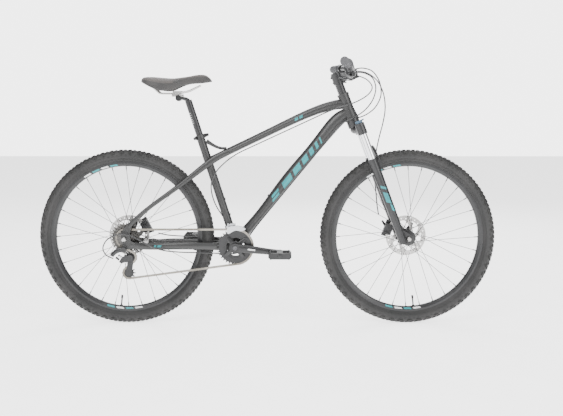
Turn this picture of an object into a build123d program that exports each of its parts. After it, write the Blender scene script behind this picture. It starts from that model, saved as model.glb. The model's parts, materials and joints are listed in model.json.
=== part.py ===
"""Hardtail mountain bike with 27.5 inch wheels, a suspension fork and disc brakes.

Millimetres. +X is forward, +Y is the rider's left and +Z is up. The origin is on the
ground midway between the axles. The drive side, with the chain, faces -Y.
"""
from build123d import *
import math
import os

# Wheels
WHEEL_X = 552.0
AXLE_Z = 345.0
TYRE_R = 345.0
TYRE_HALF_W = 26.5
RIM_R = 298.0
SPOKE_BED_R = 278.5
RIM_HALF_W = 12.5
SPOKES = 32
ROTOR_R = 80.0
ROTOR_Y = {"front": 39.0, "rear": 48.0}
FLANGES_Y = {"front": (-33.0, 23.0), "rear": (-20.0, 33.0)}
HUB_ENDS_Y = {"front": (-42.0, 43.0), "rear": (-24.0, 55.0)}
AXLE_R = 5.0
RUNNING_GAP = 0.05

# Frame
BB = Vector(-122.6, 0, 311.4)
BB_SHELL_R = 20.5
BB_HALF_W = 34.0
SEAT_TUBE_R = 16.0
SEATPOST_R = 13.6
SEAT_ANGLE = 72.2
SEAT_TUBE_LENGTH = 456.0
HEAD_ANGLE = 69.0
HEAD_TUBE_LENGTH = 108.0
STEERER_R = 14.3
WALL = 1.6

# Fork
FORK_OFFSET = 40.0
CROWN_OFFSET = 15.0
LEG_Y = 62.0
STANCHION_R = 14.0
LEG_R = 17.5
FORK_TRAVEL = 100.0

# Drivetrain
CHAIN_PITCH = 12.7
CHAIN_Y = -47.1
CHAINRING_TEETH = 34
COG_TEETH = (11, 13, 15, 17, 19, 21, 24, 28)
COG_IN_USE = 3
COG_SPACING = 4.8
PULLEY_TEETH = 11
ROLLER_R = 3.8
CRANK_LENGTH = 175.0
CRANK_ANGLE = -6.0
PEDAL_Y = 104.0
REAR_AXLE = Vector(-WHEEL_X, 0, AXLE_Z)
FRONT_AXLE = Vector(WHEEL_X, 0, AXLE_Z)
GUIDE_PULLEY = Vector(-533, 0, 270)
TENSION_PULLEY = Vector(-540, 0, 209)

# Cockpit
STEM_LENGTH = 60.0
BAR_CLAMP = Vector(330, 0, 978)
BAR_R = 11.1
BAR_HALF_W = 360.0
GRIP_R = 15.5
GRIP_END = Vector(277, 358, 1012)

STEER_DIR = Vector(-math.cos(math.radians(HEAD_ANGLE)), 0, math.sin(math.radians(HEAD_ANGLE)))
STEER_FWD = Vector(math.sin(math.radians(HEAD_ANGLE)), 0, math.cos(math.radians(HEAD_ANGLE)))
STEER_FOOT = FRONT_AXLE - STEER_FWD * FORK_OFFSET
SEAT_DIR = Vector(-math.cos(math.radians(SEAT_ANGLE)), 0, math.sin(math.radians(SEAT_ANGLE)))
SEAT_TOP = BB + SEAT_DIR * SEAT_TUBE_LENGTH
LEFT = Vector(0, 1, 0)


def steer_point(height, forward=0.0, y=0.0):
    """A point height above the axle's level along the steering axis, and forward of it."""
    return STEER_FOOT + STEER_DIR * height + STEER_FWD * forward + LEFT * y


def seat_point(height, forward=0.0, y=0.0):
    """A point height above the bottom bracket along the seat tube, and forward of it."""
    forward_dir = Vector(SEAT_DIR.Z, 0, -SEAT_DIR.X)
    return BB + SEAT_DIR * height + forward_dir * forward + LEFT * y


HEAD_BOTTOM = 507.5
HEAD_TOP = HEAD_BOTTOM + HEAD_TUBE_LENGTH


def rod(start, end, radius, inner=0.0):
    """A round bar from start to end, or a tube when inner is given."""
    run = Vector(end) - Vector(start)
    plane = Plane(origin=start, z_dir=run)
    solid = Solid.make_cylinder(radius, run.length, plane)
    if inner:
        solid = solid - Solid.make_cylinder(inner, run.length, plane)
    return solid


def taper(start, end, start_radius, end_radius):
    """A cone frustum from start to end."""
    run = Vector(end) - Vector(start)
    return Solid.make_cone(start_radius, end_radius, run.length, Plane(origin=start, z_dir=run))


def across(x, z, y0, y1, radius, inner=0.0):
    """A bar or tube that lies across the bike, along Y."""
    return rod(Vector(x, y0, z), Vector(x, y1, z), radius, inner)


def block(centre, size, tilt=0.0):
    """A box with its length turned by tilt degrees, upward at the front."""
    plane = Plane(origin=centre, x_dir=(math.cos(math.radians(tilt)), 0, math.sin(math.radians(tilt))),
                  z_dir=(0, -1, 0))
    length, width, height = size
    return plane.location * Box(length, height, width)


def plate(points, y0, y1):
    """A flat plate in the bike's side view from (x, z) corners, between y0 and y1."""
    face = make_face(Polyline(*[(x, y0, z) for x, z in points], close=True))
    return Solid.extrude(face.faces()[0], Vector(0, y1 - y0, 0))


def smooth_plate(points, y0, y1):
    """A flat plate with a smooth closed outline through (x, z) points."""
    edge = Edge.make_spline([(x, y0, z) for x, z in points], periodic=True)
    face = Face(Wire([edge]))
    return Solid.extrude(face, Vector(0, y1 - y0, 0))


def oval_loft(stations, shrink=0.0):
    """A tube skinned over ovals, each (centre, direction, half width in Y, half depth)."""
    wires = []
    for centre, direction, half_y, half_depth in stations:
        plane = Plane(origin=centre, x_dir=(0, 1, 0), z_dir=direction)
        wires.append(Wire([Edge.make_ellipse(half_y - shrink, half_depth - shrink, plane)]))
    return Solid.make_loft(wires)


def turned(points, x, z):
    """A solid turned about the line along Y through (x, z), from (radius, y) corners."""
    face = make_face(Polyline(*[(x + r, y, z) for r, y in points], close=True))
    return revolve(face, Axis((x, 0, z), (0, 1, 0))).solids()[0]


def bent_rod(points, radius, bend):
    """A round bar along straight runs joined by arcs of the given radii."""
    path = FilletPolyline(*points, radius=bend)
    start = Vector(*points[0])
    run = Vector(*points[1]) - start
    face = Plane(origin=start, z_dir=run).location * Circle(radius)
    return sweep(face, path=path).solids()[0]


def polar(centre, radius, degrees, y=0.0):
    """A point at an angle in the side view, measured up from forward."""
    angle = math.radians(degrees)
    return Vector(centre.X + radius * math.cos(angle), y, centre.Z + radius * math.sin(angle))


def mirror_y(shape):
    """The same shape on the other side of the bike."""
    return shape.mirror(Plane.XZ)


def save(name, *shapes):
    """Write one sub-part's solids to its STEP file."""
    solids = [solid for shape in shapes for solid in shape.solids()]
    export_step(Compound(children=solids, label=name), f"parts/{name}.step")


# ---------------------------------------------------------------- frame
def head_tube():
    """The tapered head tube with its two headset cups."""
    bottom = steer_point(HEAD_BOTTOM + 10)
    top = steer_point(HEAD_TOP - 10)
    middle = steer_point(HEAD_BOTTOM + 45)
    tube = taper(bottom, middle, 26, 21.5).fuse(rod(middle, top, 21.5))
    tube = tube - rod(bottom, top, 17.5)
    cups = []
    for low, high, radius in ((HEAD_BOTTOM, HEAD_BOTTOM + 10, 27), (HEAD_TOP - 10, HEAD_TOP, 23)):
        cups.append(rod(steer_point(low), steer_point(high), radius, STEERER_R + RUNNING_GAP))
    return tube, cups


def head_tube_outside():
    """The space that the head tube and its cups fill, which coped tubes are cut back from."""
    middle = steer_point(HEAD_BOTTOM + 45)
    lower = rod(steer_point(HEAD_BOTTOM - 12), steer_point(HEAD_BOTTOM + 10), 27.2)
    barrel = taper(steer_point(HEAD_BOTTOM + 10), middle, 26, 21.5)
    return lower.fuse(barrel, rod(middle, steer_point(HEAD_TOP), 21.5))


TOP_TUBE_LINE = (
    (305, 866, 16, 20),
    (240, 856, 16, 18),
    (130, 815, 16, 15.5),
    (0, 753, 17, 14),
    (-144, 684, 19, 14),
    (-226, 645, 20, 14),
)
DOWN_TUBE_LINE = (
    (318, 832, 17, 20),
    (268, 796, 20, 27),
    (215, 733, 21, 25),
    (120, 620, 22, 23),
    (20, 495, 22, 20),
    (-60, 395, 21, 19),
    (-122, 317, 20, 18),
)
SEATSTAY_LINE = (
    (-150, 679, 18, 6, 11),
    (-222, 640, 24.5, 6.5, 13),
    (-290, 588, 32, 7, 11),
    (-380, 521, 44, 7, 9),
    (-475, 451, 60, 7, 8),
    (-535, 394, 70.5, 4.5, 9),
)
CHAINSTAY_LINE = (
    (-122, 309, 22, 7, 15),
    (-172, 310, 28, 7.5, 15),
    (-214, 312, 36, 8, 15),
    (-250, 314, 43, 8, 15),
    (-380, 315, 51, 8, 14),
    (-490, 317, 63, 6.5, 13),
    (-528, 322, 70.5, 4.5, 12),
)


def stations(line, side=0):
    """Oval stations along a tube, facing along the line between their neighbours."""
    points = [Vector(p[0], side * p[2] if len(p) == 5 else 0, p[1]) for p in line]
    result = []
    for i, values in enumerate(line):
        before = points[max(i - 1, 0)]
        after = points[min(i + 1, len(points) - 1)]
        result.append((points[i], after - before, values[-2], values[-1]))
    return result


def seat_tube_outside():
    """The space that the seat tube fills."""
    return rod(BB, SEAT_TOP, SEAT_TUBE_R)


def bb_outside():
    """The space that the bottom bracket shell fills."""
    return across(BB.X, BB.Z, -BB_HALF_W, BB_HALF_W, BB_SHELL_R)


def top_tube():
    """The top tube, coped to the head and seat tubes and between the seatstays."""
    line = stations(TOP_TUBE_LINE)
    tube = oval_loft(line) - oval_loft(line, WALL)
    for cutter in (head_tube_outside(), seat_tube_outside(), seatstay(1), seatstay(-1)):
        tube = tube - cutter
    return max(tube.solids(), key=lambda solid: solid.volume)


def gusset():
    """The bent strut from the seat tube's top to the top tube."""
    line = stations(((-236, 722, 8, 9), (-215, 709, 8, 7), (-190, 697, 8, 6), (-158, 695, 8, 5)))
    strut = oval_loft(line) - seat_tube_outside() - oval_loft(stations(TOP_TUBE_LINE))
    return max(strut.solids(), key=lambda solid: solid.volume)


def down_tube():
    """The deep down tube, with two threaded bottle bosses on its upper side."""
    line = stations(DOWN_TUBE_LINE)
    tube = oval_loft(line) - oval_loft(line, WALL)
    for cutter in (head_tube_outside(), bb_outside(), seat_tube_outside(), oval_loft(stations(TOP_TUBE_LINE))):
        tube = tube - cutter
    return max(tube.solids(), key=lambda solid: solid.volume)


BOSS_R = 2.5
BOSS_DEPTH = 12.0
DOWN_BOSS_ALONG = (66.0, 2.0)
DOWN_BOSS_OUT = 21.0
SEAT_BOSS_HEIGHTS = (125.0, 189.0)


def boss(foot, outward):
    """A threaded insert that stands just proud of its tube."""
    top = foot + outward * 2
    return rod(foot - outward * (BOSS_DEPTH - 2), top, 4.5, BOSS_R)


def down_boss_places():
    """Foot and outward direction of each bottle boss on the down tube."""
    foot = Vector(20, 0, 495)
    along = (Vector(120, 0, 620) - foot).normalized()
    outward = Vector(-along.Z, 0, along.X)
    return [(foot + along * distance + outward * DOWN_BOSS_OUT, outward) for distance in DOWN_BOSS_ALONG]


def seat_boss_places():
    """Foot and outward direction of each bottle boss on the seat tube."""
    forward = Vector(SEAT_DIR.Z, 0, -SEAT_DIR.X)
    return [(seat_point(height, SEAT_TUBE_R), forward) for height in SEAT_BOSS_HEIGHTS]


def seat_tube():
    """The seat tube, open at the top for the seatpost."""
    tube = rod(BB + SEAT_DIR * 18, SEAT_TOP, SEAT_TUBE_R, SEATPOST_R + 0.1) - bb_outside()
    return tube.solids()[0]


def bottom_bracket():
    """The shell, and inside it the two bearing cups."""
    shell = across(BB.X, BB.Z, -BB_HALF_W, BB_HALF_W, BB_SHELL_R, 17.5)
    parts = [shell]
    for side in (-1, 1):
        inner = across(BB.X, BB.Z, side * 12, side * 34, 17.4, 8 + RUNNING_GAP)
        flange = across(BB.X, BB.Z, side * 34, side * 36, 19, 8 + RUNNING_GAP)
        parts.append(inner.fuse(flange))
    return parts


def chainstay(side):
    """One chainstay, from the bottom bracket shell to the dropout."""
    return (oval_loft(stations(CHAINSTAY_LINE, side)) - bb_outside()).solids()[0]


def seatstay(side):
    """One seatstay, which starts beside the top tube and passes the seat tube."""
    return oval_loft(stations(SEATSTAY_LINE, side)).solids()[0]


def dropout(side):
    """The plate that holds the axle between the two stays, with an open slot."""
    outline = ((-510, 330), (-526, 338), (-531, 362), (-522, 392), (-536, 404), (-556, 384), (-563, 362),
               (-565, 335), (-556, 328), (-548, 306), (-530, 306), (-514, 308))
    y0, y1 = sorted((side * 67.5, side * 73.5))
    body = plate(outline, y0, y1)
    body = body - across(REAR_AXLE.X, REAR_AXLE.Z, -80, 80, AXLE_R + 0.1)
    for stay in (chainstay(side), seatstay(side)):
        body = body - stay
    return max(body.solids(), key=lambda solid: solid.volume)


def hanger():
    """The replaceable tab below the right dropout that holds the rear derailleur."""
    tab = plate(((-546, 322), (-556, 324), (-564, 304), (-556, 292), (-546, 296), (-540, 312)), -78, -73.5)
    return tab - across(HANGER_HOLE.X, HANGER_HOLE.Z, -90, -60, 4)


HANGER_HOLE = Vector(-553, 0, 306)


COLLAR_LOW = SEAT_TUBE_LENGTH - 16
COLLAR_BOLT = SEAT_TUBE_LENGTH - 8
CAM_R = 7.2


def seat_collar():
    """The split clamp round the top of the seat tube, and its skewer and nut."""
    ring = rod(seat_point(COLLAR_LOW), seat_point(SEAT_TUBE_LENGTH), 19.5)
    ring = ring.fuse(rod(seat_point(COLLAR_BOLT, -20, -15), seat_point(COLLAR_BOLT, -20, 15), 6))
    ring = ring - rod(seat_point(COLLAR_LOW - 2), seat_point(SEAT_TUBE_LENGTH + 2), SEAT_TUBE_R + 0.05)
    ring = ring - rod(seat_point(COLLAR_BOLT, -20, -20), seat_point(COLLAR_BOLT, -20, 20), 2.6)
    ring = ring - block(seat_point(COLLAR_BOLT, -22), (16, 2.5, 30))
    skewer = rod(seat_point(COLLAR_BOLT, -20, -22), seat_point(COLLAR_BOLT, -20, 15.2), 2.5)
    nut = rod(seat_point(COLLAR_BOLT, -20, -22), seat_point(COLLAR_BOLT, -20, -15.2), 6)
    return max(ring.solids(), key=lambda solid: solid.volume), skewer.fuse(nut)


def cam_lever(centre, along, length):
    """A quick-release lever that lies along a direction, with a barrel cam at its root."""
    pin = along.cross(LEFT).normalized()
    barrel = rod(centre - pin * 5.5, centre + pin * 5.5, CAM_R)
    line = [centre + along * length * share + LEFT * out for share, out in ((0.05, 1), (0.55, 4), (1.0, 0))]
    blade = oval_loft([(line[0], line[1] - line[0], 3, 6), (line[1], line[2] - line[0], 3, 8),
                       (line[2], line[2] - line[1], 2.5, 5)])
    return barrel.fuse(blade)


def seat_collar_lever():
    """The seat clamp's lever, which lies forward along the collar's left side."""
    forward = Vector(SEAT_DIR.Z, 0, -SEAT_DIR.X)
    return cam_lever(seat_point(COLLAR_BOLT, -20, 15.5 + CAM_R), forward, 52)


# ---------------------------------------------------------------- wheels
def tyre(x):
    """The hollow tyre with its beads, and the inner tube inside it."""
    centre_r = TYRE_R - TYRE_HALF_W
    inner = TYRE_HALF_W - 4

    def rim_side(radius, y):
        return Vector(x + radius, y, AXLE_Z)

    outer_foot = 16.9
    corners = (rim_side(298.2, outer_foot), rim_side(298.4, 10.9), rim_side(291.5, 10.9), rim_side(291.5, 8.6),
               rim_side(centre_r - math.sqrt(inner ** 2 - 8.6 ** 2), 8.6))
    mirrored = [Vector(p.X, -p.Y, p.Z) for p in corners]
    edges = list(Polyline(*corners).edges()) + list(Polyline(*mirrored).edges())
    edges.append(ThreePointArc(corners[0], rim_side(TYRE_R, 0), mirrored[0]).edge())
    edges.append(ThreePointArc(corners[-1], rim_side(centre_r + inner, 0), mirrored[-1]).edge())
    casing = revolve(make_face(edges), Axis((x, 0, AXLE_Z), (0, 1, 0))).solids()[0]
    plane = Plane(origin=(x, 0, AXLE_Z), z_dir=(0, 1, 0))
    tube = Solid.make_torus(317, 20.3, plane) - Solid.make_torus(317, 19.2, plane)
    return casing, tube


def rim(x):
    """The double-wall rim, with a channel for the beads."""
    section = ((298, 12.5), (298, 11), (291, 11), (287, 6), (287, -6), (291, -11), (298, -11), (298, -12.5),
               (290, -12.5), (281, -9), (278.5, -5), (278.5, 5), (281, 9), (290, 12.5))
    cavity = ((285, 5.5), (288, 10), (283, 8), (281, 4), (281, -4), (283, -8), (288, -10), (285, -5.5))
    return turned(section, x, AXLE_Z) - turned(cavity, x, AXLE_Z)


def spokes(x, end):
    """Spokes laced three-cross from the hub flanges, each with its nipple."""
    parts = []
    right, left = FLANGES_Y[end]
    centre = Vector(x, 0, AXLE_Z)
    for i in range(SPOKES):
        y = right if i % 2 else left
        rim_angle = 360 * i / SPOKES
        lean = 62 if (i // 2) % 2 else -62
        hub_y = y + (1.9 if (i // 2) % 2 else -1.9)
        start = polar(centre, 26.5, rim_angle + lean, hub_y)
        finish = polar(centre, SPOKE_BED_R - 0.4, rim_angle, 2.0 if y > 0 else -2.0)
        nipple = start + (finish - start) * 0.95
        parts.append(rod(start, nipple, 1.0))
        parts.append(rod(nipple, finish, 2.0))
    return parts


def hub(x, end):
    """The hub shell with two spoke flanges, bored for the axle."""
    right, left = FLANGES_Y[end]
    low, high = HUB_ENDS_Y[end]
    bore = AXLE_R + RUNNING_GAP
    section = ((bore, low), (14, low), (15, right - 3), (30, right - 0.8), (30, right + 0.8), (14, right + 4),
               (12, (left + right) / 2), (14, left - 4), (30, left - 0.8), (30, left + 0.8), (20, left + 3),
               (20, ROTOR_Y[end] - 1), (11, ROTOR_Y[end] - 1), (11, high), (bore, high))
    return turned(section, x, AXLE_Z)


def rotor(x, end):
    """The disc brake rotor: a braking band with windows, six swept arms and its bolts."""
    y = ROTOR_Y[end]
    centre = Vector(x, 0, AXLE_Z)
    disc = across(x, AXLE_Z, y - 0.9, y + 0.9, ROTOR_R, 11.3)
    for i in range(6):
        angle = 60 * i
        window = smooth_plate([(p.X, p.Z) for p in (
            polar(centre, 28, angle + 8), polar(centre, 27, angle + 38), polar(centre, 44, angle + 52),
            polar(centre, 60, angle + 70), polar(centre, 61, angle + 40), polar(centre, 45, angle + 18))],
            y - 2, y + 2)
        disc = disc - window
    for i in range(24):
        hole = polar(centre, 70 + 3 * (i % 3 - 1), 15 * i)
        disc = disc - across(hole.X, hole.Z, y - 2, y + 2, 2.6)
    bolts = []
    for i in range(6):
        place = polar(centre, 17, 60 * i + 10)
        bolts.append(across(place.X, place.Z, y + 0.9, y + 3.4, 2.8))
    return [max(disc.solids(), key=lambda solid: solid.volume)] + bolts


def axle(x, half_width, reach):
    """A hollow axle with its locknuts, and the quick-release skewer and nut through it."""
    sleeve = across(x, AXLE_Z, -reach, reach, AXLE_R, 2.6)
    nuts = []
    for side in (-1, 1):
        inner = side * (half_width - 4)
        outer = side * half_width
        nuts.append(across(x, AXLE_Z, min(inner, outer), max(inner, outer), 7, AXLE_R))
    body = sleeve.fuse(*nuts)
    skewer = across(x, AXLE_Z, -reach - 9, reach + 0.3, 2.5)
    nut = turned(((0, -reach - 13), (6, -reach - 13), (9, -reach - 9), (9, -reach - 0.6), (0, -reach - 0.6)),
                 x, AXLE_Z)
    return body, skewer.fuse(nut)


def axle_lever(x, reach, aim):
    """An axle's quick-release lever, on the left side, lying at an angle up from forward."""
    centre = Vector(x, reach + 0.6 + CAM_R, AXLE_Z)
    along = Vector(math.cos(math.radians(aim)), 0, math.sin(math.radians(aim)))
    return cam_lever(centre, along, 56)


# ---------------------------------------------------------------- drivetrain
def pitch_radius(teeth):
    """Radius of the circle through the chain's pins on a sprocket."""
    return CHAIN_PITCH / (2 * math.sin(math.pi / teeth))


def sprocket(centre, teeth, y, phase, thick=2.0, bore=0.0):
    """A toothed disc with a valley at the phase angle."""
    radius = pitch_radius(teeth)
    valley = ((-4.3, 0), (-3.1, -3.0), (0, -4.3), (3.1, -3.0), (4.3, 0), (5.3, 3.0))
    points = []
    for i in range(teeth):
        angle = math.radians(phase + 360 * i / teeth)
        for along, out in ((-5.3, 3.0),) + valley:
            x = centre.X + (radius + out) * math.cos(angle) - along * math.sin(angle)
            z = centre.Z + (radius + out) * math.sin(angle) + along * math.cos(angle)
            points.append((x, z))
    disc = plate(points, y - thick / 2, y + thick / 2)
    if bore:
        disc = disc - across(centre.X, centre.Z, y - thick, y + thick, bore)
    return disc


WRAPS = (
    ("chainring", BB, CHAINRING_TEETH, -1),
    ("tension", TENSION_PULLEY, PULLEY_TEETH, -1),
    ("guide", GUIDE_PULLEY, PULLEY_TEETH, 1),
    ("cog", REAR_AXLE, COG_TEETH[COG_IN_USE], -1),
)


def tangent(first, second):
    """End points of the straight chain run between two wraps, in travel order."""
    _, c1, n1, s1 = first
    _, c2, n2, s2 = second
    r1, r2 = pitch_radius(n1), pitch_radius(n2)
    gap = c2 - c1
    heading = math.atan2(gap.Z, gap.X) - math.asin((s2 * r2 - s1 * r1) / gap.length)
    normal = Vector(-math.sin(heading), 0, math.cos(heading))
    return c1 - normal * (s1 * r1), c2 - normal * (s2 * r2)


def side_angle(centre, point):
    """Angle of a point about a centre in the side view, in degrees."""
    return math.degrees(math.atan2(point.Z - centre.Z, point.X - centre.X))


def chain_route():
    """Pin centres along the whole chain, and the valley angle of each sprocket.

    The pins sit one per valley on every wrap. The run from the lower pulley to the
    chainring, the last to be laid, takes up what is left over.
    """
    runs = {WRAPS[i][0]: tangent(WRAPS[i], WRAPS[(i + 1) % 4]) for i in range(4)}
    arrivals = {WRAPS[(i + 1) % 4][0]: runs[WRAPS[i][0]][1] for i in range(4)}
    pins = []
    phases = {}
    point = runs["chainring"][1]
    lead = 0.0
    order = (WRAPS[1], WRAPS[2], WRAPS[3], WRAPS[0])
    for index, (name, centre, teeth, sense) in enumerate(order):
        radius = pitch_radius(teeth)
        step = 360.0 / teeth
        start = side_angle(centre, arrivals[name])
        sweep_angle = (sense * (side_angle(centre, runs[name][0]) - start)) % 360
        angle = lead / radius * 180 / math.pi
        phases[name] = start + sense * angle
        while angle < sweep_angle:
            pins.append(polar(centre, radius, start + sense * angle))
            angle += step
        lead = (angle - sweep_angle) * math.pi / 180 * radius
        if index == 3:
            break
        begin, end = runs[name]
        length = (end - begin).length
        while lead < length:
            pins.append(begin + (end - begin) * (lead / length))
            lead += CHAIN_PITCH
        lead -= length
    last = pins[-1]
    span = (pins[0] - last).length
    count = round(span / CHAIN_PITCH)
    pins += [last + (pins[0] - last) * (i / count) for i in range(1, count)]
    return pins, phases


PINS, PHASES = chain_route()


def chain():
    """The chain as a closed loop: a roller at every pin, and plates along both sides."""
    parts = []
    for i, pin in enumerate(PINS):
        after = PINS[(i + 1) % len(PINS)]
        parts.append(across(pin.X, pin.Z, CHAIN_Y - 3.6, CHAIN_Y + 3.6, ROLLER_R - 0.6))
        middle = (pin + after) * 0.5
        tilt = side_angle(pin, after)
        offset = 2.2 if i % 2 else 3.1
        for side in (-1, 1):
            centre = Vector(middle.X, CHAIN_Y + side * offset, middle.Z)
            parts.append(block(centre, (CHAIN_PITCH + 6.5, 0.9, 7.6), tilt))
    return parts[0].fuse(*parts[1:])


def cog_y(index):
    """Centre plane of a cog, counted from the smallest."""
    return CHAIN_Y + COG_SPACING * (index - COG_IN_USE)


def cassette():
    """Eight cogs with spacers and a lockring, on the freehub body."""
    parts = []
    bore = 17.4
    for index, teeth in enumerate(COG_TEETH):
        parts.append(sprocket(REAR_AXLE, teeth, cog_y(index), PHASES["cog"] + 7 * (index - COG_IN_USE), 2.0, bore))
        if index:
            parts.append(across(REAR_AXLE.X, REAR_AXLE.Z, cog_y(index - 1) + 1, cog_y(index) - 1, 20, bore))
    outer = cog_y(0) - 1
    inner = cog_y(7) + 1
    parts.append(across(REAR_AXLE.X, REAR_AXLE.Z, outer, inner, bore, AXLE_R + RUNNING_GAP))
    parts.append(across(REAR_AXLE.X, REAR_AXLE.Z, outer - 1.6, outer, 18.5, 9.5))
    return parts


def crank_direction(side):
    """Unit vector along a crank arm: side -1 is the right arm."""
    angle = math.radians(CRANK_ANGLE + (0 if side < 0 else 180))
    return Vector(math.cos(angle), 0, math.sin(angle))


def crank_axle():
    """The spindle between the crank arms."""
    return across(BB.X, BB.Z, -74, 74, 8)


def crank_arm(side):
    """A tapering crank arm, with the pedal's spindle screwed into it."""
    along = crank_direction(side)
    end = BB + along * CRANK_LENGTH

    def at(distance, y):
        return BB + along * distance + LEFT * (side * y)

    arm = oval_loft([(at(4, 69), along, 7, 16), (at(40, 70), along, 7, 16), (at(100, 74), along, 6.5, 13.5),
                     (at(176, 77), along, 6.5, 12.5)])
    boss_y = sorted((side * 60, side * 76))
    arm = arm.fuse(across(BB.X, BB.Z, boss_y[0], boss_y[1], 17))
    tip_y = sorted((side * 70.5, side * 83.5))
    arm = arm.fuse(across(end.X, end.Z, tip_y[0], tip_y[1], 12.5))
    arm = arm - across(BB.X, BB.Z, -74, 74, 8)
    cap_y = sorted((side * 76, side * 78))
    cap = across(BB.X, BB.Z, cap_y[0], cap_y[1], 10)
    spindle_y = sorted((side * 83.5, side * (PEDAL_Y + 50)))
    spindle = across(end.X, end.Z, spindle_y[0], spindle_y[1], 5)
    return arm, cap, spindle


def chainrings():
    """Two chainrings on a four-arm spider, their bolts, and the spider itself."""
    outer = sprocket(BB, CHAINRING_TEETH, CHAIN_Y, PHASES["chainring"], 2.2, 44)
    inner = sprocket(BB, 24, CHAIN_Y + 7.5, 0, 2.2, 35)
    arms = across(BB.X, BB.Z, CHAIN_Y - 12.5, CHAIN_Y - 5.5, 24, 17.1)
    bolts = []
    for i in range(4):
        angle = CRANK_ANGLE + 45 + 90 * i
        tip = polar(BB, 52, angle, CHAIN_Y - 4)
        arms = arms.fuse(oval_loft([(polar(BB, 20, angle, CHAIN_Y - 9), tip - polar(BB, 20, angle, CHAIN_Y - 9), 3, 9),
                                    (tip, tip - polar(BB, 20, angle, CHAIN_Y - 9), 2.2, 7)]))
        bolts.append(across(tip.X, tip.Z, CHAIN_Y - 6.5, CHAIN_Y - 1.1, 5))
    arms = arms - across(BB.X, BB.Z, CHAIN_Y - 1.1, 0, 90)
    guard = across(BB.X, BB.Z, CHAIN_Y + 1.1, CHAIN_Y + 6.4, 48, 36)
    return [outer, inner, arms.fuse(*bolts), guard]


def pedal(side):
    """A platform pedal: a caged body with two open windows, bored for its spindle."""
    centre = BB + crank_direction(side) * CRANK_LENGTH
    y0, y1 = sorted((side * 85, side * (PEDAL_Y + 58)))
    middle = (y0 + y1) / 2
    body = block(Vector(centre.X, middle, centre.Z), (88, y1 - y0, 24))
    body = body.solids()[0].chamfer(7, None, body.edges().filter_by(Axis.Y))
    core_gap = 11
    for front in (-1, 1):
        window = block(Vector(centre.X + front * (core_gap + 12.5), middle, centre.Z), (25, y1 - y0 - 16, 40))
        body = body - window
    return body - across(centre.X, centre.Z, -200, 200, AXLE_R + RUNNING_GAP)


# ---------------------------------------------------------------- derailleurs
LINK_TOP = Vector(-582, -84, 292)
LINK_LOW = Vector(-558, -61, 266)
LINK_GAP = Vector(-9.5, 0, -9)


def derailleur_mount():
    """The upper knuckle, which bolts to the hanger and carries the links' two pins."""
    bolt = across(HANGER_HOLE.X, HANGER_HOLE.Z, -90, -70, 3.9)
    head = across(HANGER_HOLE.X, HANGER_HOLE.Z, -90, -78.2, 10)
    body = oval_loft([(Vector(-553, -84.5, 306), Vector(-1, 0, -0.3), 5.5, 9),
                      (Vector(-582, -84.5, 299), Vector(-1, 0, -0.6), 5.5, 9),
                      (Vector(-598, -84.5, 281), Vector(-0.5, 0, -1), 5.5, 7)])
    return head.fuse(bolt, body)


def link(offset):
    """One of the parallelogram's two links."""
    top = LINK_TOP + offset
    run = LINK_LOW - LINK_TOP
    return oval_loft([(top + run * 0.36, run, 5, 4.5), (top + run * 0.55, run, 5, 4),
                      (top + run * 0.7, run, 4.5, 4.5)])


def derailleur_knuckle():
    """The lower knuckle, which houses the cage's spring."""
    y0, y1 = -63, -53.2
    barrel = across(GUIDE_PULLEY.X, GUIDE_PULLEY.Z, y0, y1, 12)
    return barrel.fuse(plate(((-536, 259), (-566, 248), (-576, 254), (-564, 274), (-534, 281)), y0, y1))


def derailleur_cage():
    """Two cage plates that hold both pulleys, with their bolts and the pivot stub."""
    outline = ((-544, 276), (-536, 283), (-526, 280), (-520, 270), (-524, 240), (-529, 206), (-536, 197),
               (-548, 200), (-552, 212), (-546, 240))
    parts = []
    for y in (CHAIN_Y - 5.6, CHAIN_Y + 4.2):
        sheet = plate(outline, y, y + 1.4)
        for pulley in (GUIDE_PULLEY, TENSION_PULLEY):
            sheet = sheet - across(pulley.X, pulley.Z, y - 1, y + 3, 8)
        parts.append(sheet)
        for pulley in (GUIDE_PULLEY, TENSION_PULLEY):
            parts.append(across(pulley.X, pulley.Z, y, y + 1.4, 8))
    for pulley in (GUIDE_PULLEY, TENSION_PULLEY):
        parts.append(across(pulley.X, pulley.Z, CHAIN_Y - 5.6, CHAIN_Y + 5.6, 3))
    return parts[0].fuse(*parts[1:])


def pulley(centre, name):
    """A jockey pulley with eleven teeth."""
    return sprocket(centre, PULLEY_TEETH, CHAIN_Y, PHASES[name], 2.4, 3 + RUNNING_GAP)


def front_derailleur_clamp():
    """The band round the seat tube and the fixed link with the cage's pivot."""
    height = 78
    band = rod(seat_point(height - 7), seat_point(height + 7), SEAT_TUBE_R + 3.5, SEAT_TUBE_R + 0.05)
    arm = block(seat_point(height, 8, -22), (30, 9, 16)).solids()[0] - seat_tube_outside()
    lugs = [block(FD_PIVOT + Vector(x, 5, 0), (4, 18, 12)).solids()[0] for x in (1.5, -25.5)]
    pivot = rod(FD_PIVOT + Vector(2, 0, 0), FD_PIVOT + Vector(-26, 0, 0), 3)
    return max(band.fuse(arm, *lugs, pivot).solids(), key=lambda solid: solid.volume)


FD_PIVOT = Vector(-126, -35, 396)


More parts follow.
